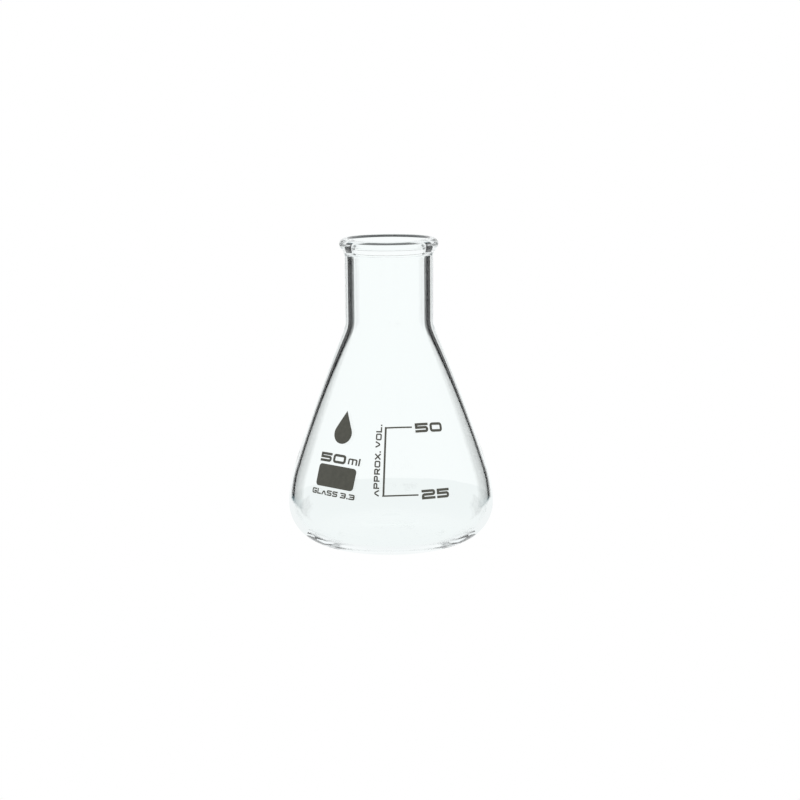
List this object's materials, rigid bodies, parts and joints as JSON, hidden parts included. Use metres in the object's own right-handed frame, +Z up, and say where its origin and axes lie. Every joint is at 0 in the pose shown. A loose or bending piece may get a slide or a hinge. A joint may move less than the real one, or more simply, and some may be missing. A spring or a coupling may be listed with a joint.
{
  "type": "erlenmeyer flask",
  "caption": "Clear glass conical flask with a cylindrical neck, beaded rim, rounded heel and dark fired-on graduation print.",
  "frame": {"origin": "on the flask's axis, at the height of the surface it stands on", "axes": "+Z up along the flask's axis, out of the mouth; the print faces -Y, +X is to the right when reading it"},
  "size_m": [0.0518, 0.0518, 0.076],
  "materials": {
    "clear_glass": "polished",
    "enamel_print": "satin fired enamel"
  },
  "bodies": {
    "root": {"flask_glass": "clear_glass", "graduation_bracket": "enamel_print", "upper_numeral": "enamel_print", "lower_numeral": "enamel_print", "volume_legend": "enamel_print", "capacity_legend": "enamel_print", "marking_spot": "enamel_print", "glass_type_legend": "enamel_print", "droplet_mark": "enamel_print"}
  },
  "joints": []
}
